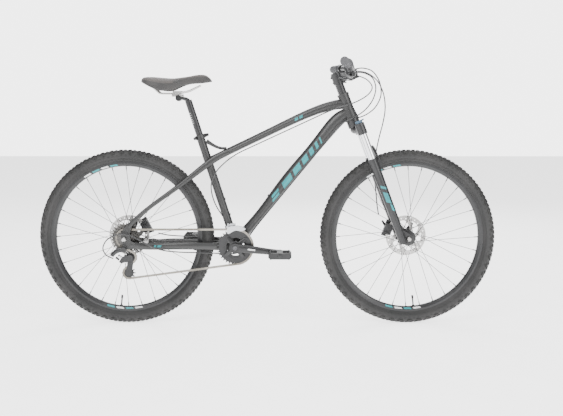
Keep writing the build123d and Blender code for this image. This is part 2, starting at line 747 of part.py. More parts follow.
def front_derailleur_cage():
    """The swinging cage: two curved plates either side of the chain, and their bridges."""
    outer = [polar(BB, r, a) for r, a in ((82, 62), (84, 78), (83, 95), (80, 112), (60, 118), (62, 100), (66, 82),
                                          (70, 66))]
    points = [(p.X, p.Z) for p in outer]
    parts = [smooth_plate(points, CHAIN_Y - 6.5, CHAIN_Y - 5.3), smooth_plate(points, CHAIN_Y + 5, CHAIN_Y + 6.2)]
    back = polar(BB, 80, 108)
    parts.append(across(back.X, back.Z, CHAIN_Y - 6.5, CHAIN_Y + 6.2, 2.4))
    top = polar(BB, 80, 82)
    parts.append(across(top.X, top.Z, CHAIN_Y - 6.5, CHAIN_Y + 6.2, 2.4))
    eye = rod(FD_PIVOT + Vector(-6, 0, 0), FD_PIVOT + Vector(-18, 0, 0), 5.5)
    foot = block(Vector(-138, -38.5, 392), (12, 6, 14))
    return parts[0].fuse(*parts[1:], eye, foot) - rod(FD_PIVOT + Vector(6, 0, 0), FD_PIVOT + Vector(-30, 0, 0),
                                                      3 + RUNNING_GAP)


# ---------------------------------------------------------------- fork
CROWN_LOW = 444.0
CROWN_HIGH = 488.0
STEM_LOW = 656.0
STEM_HIGH = 696.0
LEG_TOP = 338.0
SOCKET_R = 18.5
SEAL_HEIGHT = 5.0
STANCHION_LOW = 150.0


def leg_point(height, side, forward=0.0):
    """A point on a fork leg's axis, or forward of it."""
    return steer_point(height, CROWN_OFFSET + forward, side * LEG_Y)


def fork_crown():
    """The crown, its two leg sockets and the steerer tube."""
    wires = []
    for y, forward, half_f, half_h in ((-64, 15, 15, 15), (-30, 10, 20, 17), (0, 4, 26, 19), (30, 10, 20, 17),
                                       (64, 15, 15, 15)):
        plane = Plane(origin=steer_point(CROWN_HIGH - 19, forward, y), x_dir=STEER_FWD, z_dir=LEFT)
        wires.append(Wire([Edge.make_ellipse(half_f, half_h, plane)]))
    crown = Solid.make_loft(wires)
    for side in (-1, 1):
        crown = crown.fuse(rod(leg_point(CROWN_LOW, side), leg_point(CROWN_HIGH, side), SOCKET_R))
    for side in (-1, 1):
        crown = crown - rod(leg_point(CROWN_LOW - 1, side), leg_point(CROWN_HIGH + 1, side), STANCHION_R)
    race = rod(steer_point(CROWN_HIGH - 10), steer_point(HEAD_BOTTOM - 1), 25)
    steerer = rod(steer_point(CROWN_HIGH - 10), steer_point(STEM_HIGH), STEERER_R, STEERER_R - 2.2)
    return crown.fuse(race).fuse(steerer)


def stanchions():
    """The two polished inner legs and the cap on the left one."""
    parts = [rod(leg_point(STANCHION_LOW, side), leg_point(CROWN_HIGH, side), STANCHION_R, STANCHION_R - 2)
             for side in (-1, 1)]
    cap = taper(leg_point(CROWN_HIGH, 1), leg_point(CROWN_HIGH + 6, 1), 15, 12)
    return parts + [cap]


def fork_spring():
    """The coil spring inside the left leg, as its outer shape, between its two seats."""
    return rod(leg_point(60, 1), leg_point(CROWN_HIGH - 20, 1), 10.5, 7.5)


def lockout_knob():
    """The knob on the right leg that firms up the fork, with its finger tab."""
    base = rod(leg_point(CROWN_HIGH + 0.5, -1), leg_point(CROWN_HIGH + 10, -1), 14)
    tab = oval_loft([(leg_point(CROWN_HIGH + 7, -1, 4), STEER_FWD, 5, 3.5),
                     (leg_point(CROWN_HIGH + 9, -1, 22), STEER_FWD, 4, 3)])
    return base.fuse(tab)


def fork_lowers():
    """Both lower legs, the arch that joins them, their wiper seals and axle ends."""
    legs = []
    for side in (-1, 1):
        leg = taper(leg_point(-8, side), leg_point(LEG_TOP - 40, side), 15.5, LEG_R)
        leg = leg.fuse(rod(leg_point(LEG_TOP - 40, side), leg_point(LEG_TOP, side), LEG_R))
        inner_y, outer_y = sorted((side * 50, side * 56))
        ear = plate(((509, 330), (512, 372), (530, 378), (562, 358), (565, 344), (558, 332), (540, 322)),
                    inner_y, outer_y)
        leg = leg.fuse(ear)
        leg = leg - rod(leg_point(40, side), leg_point(LEG_TOP + 1, side), STANCHION_R + 0.08)
        legs.append(leg)
    wires = []
    for y, height, half_f, half_h in ((-58, 316, 7, 16), (-46, 350, 5.5, 12), (-20, 372, 6, 11), (0, 377, 6, 11),
                                      (20, 372, 6, 11), (46, 350, 5.5, 12), (58, 316, 7, 16)):
        plane = Plane(origin=steer_point(height, CROWN_OFFSET + 22, y), x_dir=STEER_FWD, z_dir=LEFT)
        wires.append(Wire([Edge.make_ellipse(half_f, half_h, plane)]))
    arch = Solid.make_loft(wires)
    lowers = legs[0].fuse(legs[1], arch)
    for side in (-1, 1):
        lowers = lowers - rod(leg_point(40, side), leg_point(LEG_TOP + 60, side), STANCHION_R + 0.08)
    lowers = lowers - across(FRONT_AXLE.X, FRONT_AXLE.Z, -80, 80, AXLE_R + 0.1)
    seals = [rod(leg_point(LEG_TOP, side), leg_point(LEG_TOP + SEAL_HEIGHT, side), LEG_R - 0.5, STANCHION_R + 0.06)
             for side in (-1, 1)]
    return [max(lowers.solids(), key=lambda solid: solid.volume)] + seals


# ---------------------------------------------------------------- brakes
FRONT_CALIPER_ANGLE = 160.0
REAR_CALIPER_ANGLE = 28.0
CALIPER_R = 76.0


def caliper(centre, angle, y, cutters):
    """A mechanical disc caliper with a slot for the rotor, its pads and its bracket."""
    middle = polar(centre, CALIPER_R, angle, y)
    body = block(middle, (32, 30, 42), angle)
    body = body.solids()[0].fillet(5, body.edges().filter_by(Axis.Y))
    slot = block(polar(centre, CALIPER_R - 10, angle, y), (32, 9, 50), angle)
    body = body - slot
    bracket = block(polar(centre, CALIPER_R + 4, angle, y + 16), (22, 8, 66), angle)
    for cutter in cutters:
        bracket = bracket - cutter
        body = body - cutter
    bracket = bracket - body
    pads = [block(polar(centre, 70, angle, y + side * 2.7), (20, 3, 24), angle) for side in (-1, 1)]
    bodies = [max(shape.solids(), key=lambda solid: solid.volume) for shape in (body, bracket)]
    return bodies + [pad.solids()[0] for pad in pads]


def caliper_arm(centre, angle, y, reach):
    """The actuating arm on a caliper's outer face, with its round boss and cable clamp."""
    middle = polar(centre, CALIPER_R + 2, angle)
    boss = across(middle.X, middle.Z, y + 20.4, y + 29, 11)
    tip = Vector(middle.X, 0, middle.Z) + reach
    tilt = side_angle(middle, tip)
    mid = (middle + tip) * 0.5
    arm = block(Vector(mid.X, y + 26.5, mid.Z), (reach.length, 3.5, 9), tilt)
    clamp = across(tip.X, tip.Z, y + 22, y + 31, 4.5)
    return boss.fuse(arm.solids()[0], clamp)


FRONT_ARM_REACH = Vector(-16, 0, 26)
REAR_ARM_REACH = Vector(22, 0, -24)


def front_caliper():
    """The front caliper, behind the left fork leg."""
    leg = rod(leg_point(-10, 1), leg_point(LEG_TOP, 1), LEG_R + 0.2)
    return caliper(FRONT_AXLE, FRONT_CALIPER_ANGLE, ROTOR_Y["front"], [leg])


def rear_caliper():
    """The rear caliper, between the left stays."""
    return caliper(REAR_AXLE, REAR_CALIPER_ANGLE, ROTOR_Y["rear"], [chainstay(1), seatstay(1), dropout(1)])


# ---------------------------------------------------------------- cockpit
def stem():
    """The stem with its steerer clamp, the bar clamp's two halves, spacers and top cap."""
    lug = rod(steer_point(STEM_LOW), steer_point(STEM_HIGH), 20)
    centre = steer_point((STEM_LOW + STEM_HIGH) / 2)
    along = BAR_CLAMP - centre
    arm = oval_loft([(centre + along * 0.1, along, 17, 16), (centre + along * 0.6, along, 16, 13),
                     (centre + along * 0.85, along, 21, 15)])
    clamp = across(BAR_CLAMP.X, BAR_CLAMP.Z, -22, 22, 20.5)
    body = lug.fuse(arm, clamp)
    body = body - across(BAR_CLAMP.X, BAR_CLAMP.Z, -40, 40, 15.9)
    body = body - rod(steer_point(STEM_LOW - 1), steer_point(STEM_HIGH + 1), STEERER_R)
    tilt = side_angle(centre, BAR_CLAMP)
    ahead = BAR_CLAMP + along.normalized() * 26
    front_half = block(ahead, (50, 60, 60), tilt).solids()[0]
    faceplate = body & front_half
    body = body - front_half
    spacers = [rod(steer_point(HEAD_TOP + 0.5 + 10 * i), steer_point(HEAD_TOP + 10 + 10 * i), 17, STEERER_R)
               for i in range(4)]
    cap = rod(steer_point(STEM_HIGH), steer_point(STEM_HIGH + 5), 18)
    shapes = [max(body.solids(), key=lambda solid: solid.volume),
              max(faceplate.solids(), key=lambda solid: solid.volume)]
    return shapes + spacers + [cap]


BAR_BEND = Vector(316, 125, 1008)


def bar_point(y):
    """A point on the outer, straight part of the handlebar at a given |y|, on the left."""
    share = (y - BAR_BEND.Y) / (GRIP_END.Y - BAR_BEND.Y)
    return BAR_BEND + (GRIP_END - BAR_BEND) * share


def flip(point, side):
    """The same point on the left for side 1, or on the right for side -1."""
    return Vector(point.X, side * point.Y, point.Z)


def handlebar():
    """The riser bar with its thicker clamped centre."""
    inner = Vector(BAR_CLAMP.X, 58, BAR_CLAMP.Z)
    points = [flip(GRIP_END, -1), flip(BAR_BEND, -1), flip(inner, -1), inner, BAR_BEND, GRIP_END]
    bar = bent_rod(points, BAR_R, [55, 45, 45, 55])
    sleeve = across(BAR_CLAMP.X, BAR_CLAMP.Z, -28, 28, 15.9)
    return bar.fuse(sleeve)


def grip(side):
    """A ribbed rubber grip with a closed end."""
    end = flip(bar_point(361), side)
    start = flip(bar_point(234), side)
    body = rod(start, end, GRIP_R) - rod(start, flip(bar_point(358.4), side), BAR_R + 0.02)
    flange = rod(start, start + (end - start).normalized() * 4, GRIP_R + 3, GRIP_R - 1)
    return body.fuse(flange)


PERCH_Y = 206.0
LEVER_PIVOT = Vector(313, 186, 966)
LEVER_POINTS = ((313, 186, 966), (309, 225, 960), (292, 272, 964), (266, 320, 974))
POD = Vector(312, 158, 974)


def lever_axis(side):
    """The brake lever's pin direction, square to the bar and to the lever's plane."""
    bar = flip(GRIP_END, side) - flip(BAR_BEND, side)
    drop = flip(LEVER_PIVOT, side) - flip(bar_point(186), side)
    return bar.cross(drop).normalized()


def lever_housing(side):
    """The clamp, lever body, shifter pod, gear window and pins of one control."""
    bar = (flip(GRIP_END, side) - flip(BAR_BEND, side)).normalized()
    centre = flip(bar_point(PERCH_Y), side)
    clamp = rod(centre - bar * 8, centre + bar * 8, 16)
    pivot = flip(LEVER_PIVOT, side)
    pin_dir = lever_axis(side)
    body = oval_loft([(centre + Vector(4, 0, -8), pivot - centre, 8, 9), (centre + (pivot - centre) * 0.6, pivot - centre, 8, 9)])
    ears = [rod(pivot + pin_dir * a, pivot + pin_dir * b, 8) for a, b in ((-10, -5.2), (5.2, 10))]
    top = pivot + (centre - pivot) * 0.3
    web = rod(top - pin_dir * 10, top + pin_dir * 10, 5.5)
    pod_centre = flip(POD, side)
    pod = rod(pod_centre + Vector(0, 0, -9), pod_centre + Vector(0, 0, 12), 17)
    bridge = rod(pod_centre + Vector(0, 0, 4), centre + Vector(2, 0, -14), 7)
    stub = rod(pod_centre + Vector(0, 0, -24), pod_centre + Vector(0, 0, -9), 3.5)
    shape = clamp.fuse(body, *ears, web, pod, bridge, stub)
    shape = shape - rod(centre - bar * 40, centre + bar * 40, BAR_R + 0.02)
    shape = shape - lever_swing_space(side)
    pin = rod(pivot - pin_dir * 10, pivot + pin_dir * 10, 2.5)
    return max(shape.fuse(pin).solids(), key=lambda solid: solid.volume)


def lever_swing_space(side):
    """The slot between the housing's ears that the lever's root turns in."""
    pivot = flip(LEVER_PIVOT, side)
    pin_dir = lever_axis(side)
    return rod(pivot - pin_dir * 5.2, pivot + pin_dir * 5.2, 10.5)


def brake_lever(side):
    """A curved two-finger brake lever."""
    points = [Vector(x, side * y, z) for x, y, z in LEVER_POINTS]
    pin_dir = lever_axis(side)
    sections = ((5, 4), (6, 3.5), (6, 3.2), (5, 3.5))
    wires = []
    for i, (wide, thick) in enumerate(sections):
        run = points[min(i + 1, 3)] - points[max(i - 1, 0)]
        plane = Plane(origin=points[i], x_dir=pin_dir - run * (pin_dir.dot(run) / run.dot(run)), z_dir=run)
        wires.append(Wire([Edge.make_ellipse(wide, thick, plane)]))
    blade = Solid.make_loft(wires)
    eye = rod(points[0] - pin_dir * 5, points[0] + pin_dir * 5, 7.5)
    return blade.fuse(eye) - rod(points[0] - pin_dir * 12, points[0] + pin_dir * 12, 2.5 + RUNNING_GAP)


def thumb_lever(side, level, reach):
    """A shift lever under the pod: level 0 is the main lever and 1 the release."""
    centre = flip(POD, side) + Vector(0, 0, -14.5 - 7 * level)
    hub_ring = rod(centre + Vector(0, 0, -2.2), centre + Vector(0, 0, 2.2), 8)
    tip = centre + Vector(-reach, side * reach * 0.35, -1)
    wires = []
    for share, wide, thick in ((0.08, 4.5, 1.8), (0.6, 4.5, 1.8), (1.0, 8, 2.0)):
        plane = Plane(origin=centre + (tip - centre) * share, x_dir=(0, 1, 0), z_dir=tip - centre)
        wires.append(Wire([Edge.make_ellipse(wide, thick, plane)]))
    return hub_ring.fuse(Solid.make_loft(wires)) - rod(centre + Vector(0, 0, -6), centre + Vector(0, 0, 6), 3.5 + RUNNING_GAP)


# ---------------------------------------------------------------- saddle
POST_TOP = 596.0
POST_LOW = 330.0
HEAD_PIN = Vector(-341, 0, 888)
SADDLE_SECTIONS = (
    (-483, 30, 957, 7),
    (-462, 66, 952, 17),
    (-420, 76, 943, 26),
    (-375, 64, 945, 24),
    (-320, 36, 954, 18),
    (-262, 22, 960, 16),
    (-218, 13, 960, 9),
)


def seatpost():
    """The seatpost with its set-back head."""
    tube = rod(seat_point(POST_LOW), seat_point(POST_TOP), SEATPOST_R, SEATPOST_R - 2)
    along = HEAD_PIN - seat_point(POST_TOP - 14)
    neck = oval_loft([(seat_point(POST_TOP - 14), SEAT_DIR, SEATPOST_R, SEATPOST_R),
                      (seat_point(POST_TOP - 4), SEAT_DIR + along.normalized(), 13, 10),
                      (HEAD_PIN - along.normalized() * 2, along, 14, 5)])
    head = across(HEAD_PIN.X, HEAD_PIN.Z, -16, 16, 12)
    return tube.fuse(neck, head)


def saddle():
    """The padded saddle, hollow beneath over its rails."""
    wires = []
    hollow = []
    for x, half_y, z, half_h in SADDLE_SECTIONS:
        plane = Plane(origin=(x, 0, z), x_dir=(0, 1, 0), z_dir=(1, 0, 0))
        wires.append(Wire([Edge.make_ellipse(half_y, half_h, plane)]))
        low = Plane(origin=(x, 0, z - 15), x_dir=(0, 1, 0), z_dir=(1, 0, 0))
        hollow.append(Wire([Edge.make_ellipse(half_y - 6, half_h, low)]))
    body = Solid.make_loft(wires) - Solid.make_loft(hollow)
    return max(body.solids(), key=lambda solid: solid.volume)


TILT_ROOM = 8.0


def saddle_rails():
    """The saddle's two rails with the cradle, top clamp and bolt that grip them."""
    parts = []
    for side in (-1, 1):
        points = [(-440, side * 26, 931), (-412, side * 25, 905.5), (-350, side * 22, 905), (-302, side * 20, 914),
                  (-256, side * 9, 936)]
        parts.append(bent_rod(points, 3.5, [14, 60, 60]))
    grooves = [rod(Vector(-380, side * 22.6, 905.2), Vector(-300, side * 21, 905), 3.55) for side in (-1, 1)]
    cradle = block(Vector(-345, 0, 898), (40, 56, 9)) - across(HEAD_PIN.X, HEAD_PIN.Z, -30, 30, 12.1)
    for tilt in (-TILT_ROOM, 0, TILT_ROOM):
        cradle = cradle - seatpost().rotate(Axis(HEAD_PIN, LEFT), tilt)
    clamp = block(Vector(-345, 0, 911), (34, 56, 8))
    for cutter in grooves + parts:
        cradle = cradle - cutter
        clamp = clamp - cutter
    parts.append(max(cradle.solids(), key=lambda solid: solid.volume))
    parts.append(max(clamp.solids(), key=lambda solid: solid.volume))
    return parts


# ---------------------------------------------------------------- cables
HOUSING_R = 2.5


def route(points, radius=HOUSING_R):
    """A cable along hand-set points, with arcs as large as its runs allow."""
    line = [Vector(*p) for p in points]
    radii = []
    for before, corner, after in zip(line, line[1:], line[2:]):
        turn = math.radians((corner - before).get_angle(after - corner))
        shorter = min((corner - before).length, (after - corner).length)
        radii.append(0.45 * shorter / math.tan(turn / 2))
    print("smallest bend", round(min(radii)), "of a cable with", len(line), "points")
    return bent_rod(line, radius, radii)


FRONT_BRAKE_ROUTE = ((318, 150, 990), (352, 122, 998), (398, 84, 990), (438, 56, 955), (460, 42, 902),
                     (466, 44, 845), (458, 56, 790), (446, 74, 738), (436, 88, 682), (430, 91, 625), (430, 88, 568),
                     (436, 78, 512), (440, 68, 458), (446, 64, 424))
REAR_BRAKE_ROUTE = ((318, -150, 990), (356, -118, 1000), (402, -74, 992), (436, -30, 950), (446, 8, 896),
                    (424, 32, 848), (382, 38, 818), (332, 36, 806), (285, 28, 788), (-40, 26, 398),
                    (-82, 32, 352), (-128, 40, 335), (-182, 48, 334), (-250, 53, 337), (-330, 57, 338),
                    (-400, 66, 341), (-440, 72, 349))
FRONT_SHIFT_ROUTE = ((318, 140, 978), (356, 108, 980), (396, 62, 962), (414, 14, 930), (392, -26, 900),
                     (344, -40, 872), (290, -35, 856), (240, -22, 838), (-110, -22, 677), (-152, -30, 650),
                     (-196, -36, 608), (-218, -32, 562), (-215, -27, 514), (-198, -27, 468), (-172, -30, 430))
REAR_SHIFT_ROUTE = ((318, -140, 978), (358, -112, 984), (402, -80, 968), (420, -54, 926), (408, -40, 878),
                    (376, -36, 838), (334, -34, 812), (288, -28, 791), (-36, -26, 397), (-72, -26, 348),
                    (-88, -25, 310), (-112, -23, 283), (-150, -24, 279), (-205, -37, 285), (-262, -46, 289),
                    (-330, -56, 291), (-400, -67, 299), (-448, -76, 316), (-490, -83, 343), (-532, -89, 366),
                    (-578, -92, 368), (-618, -92, 346), (-634, -92, 312), (-620, -91, 284), (-592, -88, 272))


def frame_cables():
    """The three housings that run from the bar along the frame."""
    return [route(REAR_BRAKE_ROUTE), route(FRONT_SHIFT_ROUTE), route(REAR_SHIFT_ROUTE)]


def main():
    """Write every sub-part."""
    os.makedirs("parts", exist_ok=True)
    tube, cups = head_tube()
    save("head_tube", tube, *cups)
    save("top_tube", top_tube(), gusset())
    bosses = [boss(*place) for place in down_boss_places()]
    seat_bosses = [boss(*place) for place in seat_boss_places()]
    down = down_tube()
    for foot, outward in down_boss_places():
        down = down - rod(foot - outward * 20, foot + outward * 10, 4.5)
    seat = seat_tube()
    for foot, outward in seat_boss_places():
        seat = seat - rod(foot - outward * 10, foot + outward * 10, 4.5)
    save("down_tube", down, *bosses)
    save("seat_tube", seat, *seat_collar(), *seat_bosses)
    save("bottom_bracket", *bottom_bracket())
    sleeve, skewer = axle(-WHEEL_X, 67.5, 73.5)
    stays = [make(side) for make in (chainstay, seatstay, dropout) for side in (-1, 1)]
    save("rear_stays", *stays, hanger())
    save("rear_axle", sleeve, skewer)
    save("rear_axle_lever", axle_lever(-WHEEL_X, 73.5, 62))
    save("seat_collar_lever", seat_collar_lever())
    for end, x in (("front", WHEEL_X), ("rear", -WHEEL_X)):
        save(f"{end}_tyre", *tyre(x))
        save(f"{end}_rim", rim(x))
        save(f"{end}_spokes", *spokes(x, end))
        save(f"{end}_hub", hub(x, end))
        save(f"{end}_rotor", *rotor(x, end))
    save("cassette", *cassette())
    save("chain", chain())
    for side, name in ((-1, "right"), (1, "left")):
        save(f"pedal_{name}", pedal(side))
        save(f"brake_lever_{name}", brake_lever(side))
        save(f"shift_lever_{name}", thumb_lever(side, 0, 44))
        save(f"release_lever_{name}", thumb_lever(side, 1, 30))
    save("crank_arms", *crank_arm(-1), *crank_arm(1), crank_axle())
    save("chainrings", *chainrings())
    save("derailleur_mount", derailleur_mount())
    save("derailleur_outer_link", link(Vector(0, 0, 0)))
    save("derailleur_inner_link", link(LINK_GAP))
    save("derailleur_knuckle", derailleur_knuckle())
    save("derailleur_cage", derailleur_cage())
    save("guide_pulley", pulley(GUIDE_PULLEY, "guide"))
    save("tension_pulley", pulley(TENSION_PULLEY, "tension"))
    save("front_derailleur_clamp", front_derailleur_clamp())
    save("front_derailleur_cage", front_derailleur_cage())
    save("fork_crown", fork_crown())
    save("stanchions", *stanchions())
    save("fork_spring", fork_spring())
    save("lockout_knob", lockout_knob())
    front_sleeve, front_skewer = axle(WHEEL_X, 50, 56)
    save("fork_lowers", *fork_lowers())
    save("front_axle", front_sleeve, front_skewer)
    save("front_axle_lever", axle_lever(WHEEL_X, 56, 58))
    save("front_caliper", *front_caliper())
    save("rear_caliper", *rear_caliper())
    save("front_brake_arm", caliper_arm(FRONT_AXLE, FRONT_CALIPER_ANGLE, ROTOR_Y["front"], FRONT_ARM_REACH))
    save("rear_brake_arm", caliper_arm(REAR_AXLE, REAR_CALIPER_ANGLE, ROTOR_Y["rear"], REAR_ARM_REACH))
    save("stem", *stem())
    save("handlebar", handlebar())
    save("grips", grip(-1), grip(1))
    save("lever_housings", lever_housing(-1), lever_housing(1))
    save("seatpost", seatpost())
    save("saddle", saddle())
    save("saddle_rails", *saddle_rails())
    save("front_brake_cable", route(FRONT_BRAKE_ROUTE))
    save("frame_cables", *frame_cables())


main()
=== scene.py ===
"""The looks of the mountain bike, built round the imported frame. Metres throughout."""

import json
import math

import bmesh
import bpy
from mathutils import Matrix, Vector
from mathutils.bvhtree import BVHTree


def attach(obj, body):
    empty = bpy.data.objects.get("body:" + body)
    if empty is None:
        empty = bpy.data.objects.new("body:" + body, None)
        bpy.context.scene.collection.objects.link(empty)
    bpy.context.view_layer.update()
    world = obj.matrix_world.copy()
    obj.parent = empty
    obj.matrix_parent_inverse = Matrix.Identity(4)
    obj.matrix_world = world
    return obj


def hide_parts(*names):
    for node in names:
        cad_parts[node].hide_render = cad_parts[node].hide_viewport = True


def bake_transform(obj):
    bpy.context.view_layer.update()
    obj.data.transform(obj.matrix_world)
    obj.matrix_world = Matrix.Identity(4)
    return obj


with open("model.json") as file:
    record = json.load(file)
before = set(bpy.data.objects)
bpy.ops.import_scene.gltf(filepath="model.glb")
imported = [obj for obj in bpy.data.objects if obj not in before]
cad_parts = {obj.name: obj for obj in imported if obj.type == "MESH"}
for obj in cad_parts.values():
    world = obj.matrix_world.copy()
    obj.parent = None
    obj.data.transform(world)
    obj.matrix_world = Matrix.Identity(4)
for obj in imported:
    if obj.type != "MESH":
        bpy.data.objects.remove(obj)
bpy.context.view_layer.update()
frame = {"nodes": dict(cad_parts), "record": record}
nodes = frame["nodes"]

DRIVE_SIDE = -1
SIDES = (-1, 1)
WHEELS = {"front": Vector((0.552, 0, 0.345)), "rear": Vector((-0.552, 0, 0.345))}
WHEEL_BODY = {"front": "front_wheel", "rear": "rear_wheel"}
CRANK = Vector((-0.1226, 0, 0.3114))
CRANK_REACH = Vector((0.17404, 0, -0.01829))


# ---------------------------------------------------------------- materials
SOCKETS = {
    "metal": "Metallic",
    "coat": "Coat Weight",
    "coat_rough": "Coat Roughness",
    "sheen": "Sheen Weight",
    "specular": "Specular IOR Level",
}


class Nodes:
    """Short ways to add and join shader nodes in one material."""

    def __init__(self, name):
        self.material = bpy.data.materials.new(name)
        self.material.use_nodes = True
        self.tree = self.material.node_tree
        self.shader = self.tree.nodes["Principled BSDF"]

    def add(self, kind, **settings):
        node = self.tree.nodes.new(kind)
        for key, value in settings.items():
            setattr(node, key, value)
        return node

    def link(self, source, target):
        self.tree.links.new(source, target)

    def noise(self, scale, detail=3.0, stretch=None):
        coordinates = self.add("ShaderNodeTexCoord").outputs["Object"]
        if stretch:
            mapping = self.add("ShaderNodeMapping")
            mapping.inputs["Scale"].default_value = stretch
            self.link(coordinates, mapping.inputs["Vector"])
            coordinates = mapping.outputs["Vector"]
        noise = self.add("ShaderNodeTexNoise")
        noise.inputs["Scale"].default_value = scale
        noise.inputs["Detail"].default_value = detail
        self.link(coordinates, noise.inputs["Vector"])
        return noise.outputs["Fac"]

    def cells(self, scale):
        cells = self.add("ShaderNodeTexVoronoi", feature="DISTANCE_TO_EDGE")
        cells.inputs["Scale"].default_value = scale
        self.link(self.add("ShaderNodeTexCoord").outputs["Object"], cells.inputs["Vector"])
        return cells.outputs["Distance"]

    def ramp(self, source, low, high, start=0.35, end=0.65):
        ramp = self.add("ShaderNodeValToRGB")
        ramp.color_ramp.elements[0].position = start
        ramp.color_ramp.elements[0].color = (*low, 1)
        ramp.color_ramp.elements[1].position = end
        ramp.color_ramp.elements[1].color = (*high, 1)
        self.link(source, ramp.inputs["Fac"])
        return ramp.outputs["Color"]

    def spread(self, source, low, high):
        spread = self.add("ShaderNodeMapRange")
        spread.inputs["From Min"].default_value = 0.3
        spread.inputs["From Max"].default_value = 0.7
        spread.inputs["To Min"].default_value = low
        spread.inputs["To Max"].default_value = high
        self.link(source, spread.inputs["Value"])
        return spread.outputs["Result"]

    def bump(self, source, strength, distance):
        bump = self.add("ShaderNodeBump")
        bump.inputs["Strength"].default_value = strength
        bump.inputs["Distance"].default_value = distance
        self.link(source, bump.inputs["Height"])
        self.link(bump.outputs["Normal"], self.shader.inputs["Normal"])

    def set(self, **values):
        for key, value in values.items():
            self.shader.inputs[SOCKETS[key]].default_value = value


def surface(name, dark, light, rough, grain=300.0, bump=0.1, depth=0.0001, stretch=None, **settings):
    """A material whose colour and roughness vary a little over the surface, with a fine grain."""
    mat = Nodes(name)
    broad = mat.noise(9.0, 4.0)
    fine = mat.noise(grain, 3.0, stretch)
    mat.link(mat.ramp(broad, dark, light), mat.shader.inputs["Base Color"])
    mat.link(mat.spread(fine, rough[0], rough[1]), mat.shader.inputs["Roughness"])
    mat.bump(fine, bump, depth)
    mat.set(**settings)
    return mat.material


def leather(name, dark, light):
    """Grained synthetic leather with fine creases."""
    mat = Nodes(name)
    cells = mat.cells(520.0)
    broad = mat.noise(22.0, 5.0)
    mat.link(mat.ramp(broad, dark, light), mat.shader.inputs["Base Color"])
    mat.link(mat.spread(broad, 0.48, 0.66), mat.shader.inputs["Roughness"])
    mat.bump(cells, 0.35, 0.0004)
    mat.set(sheen=0.15)
    return mat.material


MATERIALS = {
    "frame_paint": surface(
        "frame_paint", (0.012, 0.012, 0.012), (0.018, 0.018, 0.018),
        (0.36, 0.46), 900, 0.05, coat=0.12, coat_rough=0.34
    ),
    "black_alloy": surface(
        "black_alloy", (0.011, 0.011, 0.012), (0.018, 0.018, 0.019),
        (0.3, 0.42), 700, 0.06, metal=0.2, coat=0.15, coat_rough=0.25
    ),
    "steel": surface(
        "steel", (0.42, 0.41, 0.40), (0.55, 0.54, 0.53),
        (0.26, 0.4), 260, 0.08, metal=1.0
    ),
    "chain_steel": surface(
        "chain_steel", (0.13, 0.12, 0.10), (0.30, 0.28, 0.25),
        (0.28, 0.45), 400, 0.1, metal=1.0
    ),
    "cog_steel": surface(
        "cog_steel", (0.06, 0.058, 0.055), (0.14, 0.135, 0.13),
        (0.3, 0.46), 350, 0.1, metal=1.0
    ),
    "chrome": surface(
        "chrome", (0.74, 0.75, 0.77), (0.86, 0.86, 0.88),
        (0.05, 0.1), 200, 0.01, metal=1.0
    ),
    "silver_alloy": surface(
        "silver_alloy", (0.52, 0.53, 0.55), (0.66, 0.67, 0.69),
        (0.28, 0.4), 420, 0.06, metal=1.0
    ),
    "tyre": surface(
        "tyre", (0.018, 0.018, 0.018), (0.032, 0.031, 0.030),
        (0.62, 0.82), 480, 0.35, 0.0003, specular=0.35
    ),
    "tyre_side": surface(
        "tyre_side", (0.016, 0.016, 0.016), (0.026, 0.025, 0.025),
        (0.5, 0.68), 900, 0.25, 0.0002, specular=0.4
    ),
    "grip_rubber": surface(
        "grip_rubber", (0.045, 0.045, 0.048), (0.085, 0.085, 0.09),
        (0.62, 0.8), 700, 0.3, 0.0002
    ),
    "black_plastic": surface(
        "black_plastic", (0.013, 0.013, 0.014), (0.024, 0.024, 0.025),
        (0.4, 0.56), 1200, 0.2
    ),
    "cable_housing": surface(
        "cable_housing", (0.009, 0.009, 0.010), (0.015, 0.015, 0.016),
        (0.25, 0.36), 600, 0.05, coat=0.3
    ),
    "saddle_cover": leather(
        "saddle_cover", (0.040, 0.034, 0.031), (0.066, 0.056, 0.051)
    ),
    "saddle_side": leather(
        "saddle_side", (0.018, 0.017, 0.017), (0.030, 0.028, 0.027)
    ),
    "lockout_blue": surface(
        "lockout_blue", (0.03, 0.07, 0.11), (0.05, 0.10, 0.15),
        (0.3, 0.4), 500, 0.05
    ),
    "teal_ink": surface(
        "teal_ink", (0.006, 0.19, 0.21), (0.010, 0.25, 0.27),
        (0.3, 0.4), 800, 0.03
    ),
    "white_ink": surface(
        "white_ink", (0.60, 0.61, 0.61), (0.72, 0.73, 0.73),
        (0.35, 0.45), 800, 0.03
    ),
    "grey_ink": surface(
        "grey_ink", (0.10, 0.10, 0.105), (0.14, 0.14, 0.145),
        (0.35, 0.45), 800, 0.03
    ),
    "smoky_window": surface(
        "smoky_window", (0.16, 0.16, 0.165), (0.22, 0.22, 0.225),
        (0.1, 0.16), 300, 0.02, coat=0.6
    ),
    "bolt_steel": surface(
        "bolt_steel", (0.06, 0.06, 0.062), (0.11, 0.11, 0.115),
        (0.28, 0.4), 500, 0.05, metal=0.9
    ),
}
CAD_LOOKS = {"chain": "chain_steel", "cassette": "cog_steel"}


def dress_cad():
    """Gives every carried-over CAD node its finished material."""
    slots = {entry["node"]: entry["material_slot"] for entry in frame["record"]["subparts"]}
    for name, obj in nodes.items():
        look = MATERIALS[CAD_LOOKS.get(name, slots[name])]
        for material_slot in obj.material_slots:
            material_slot.link = "OBJECT"
            material_slot.material = look


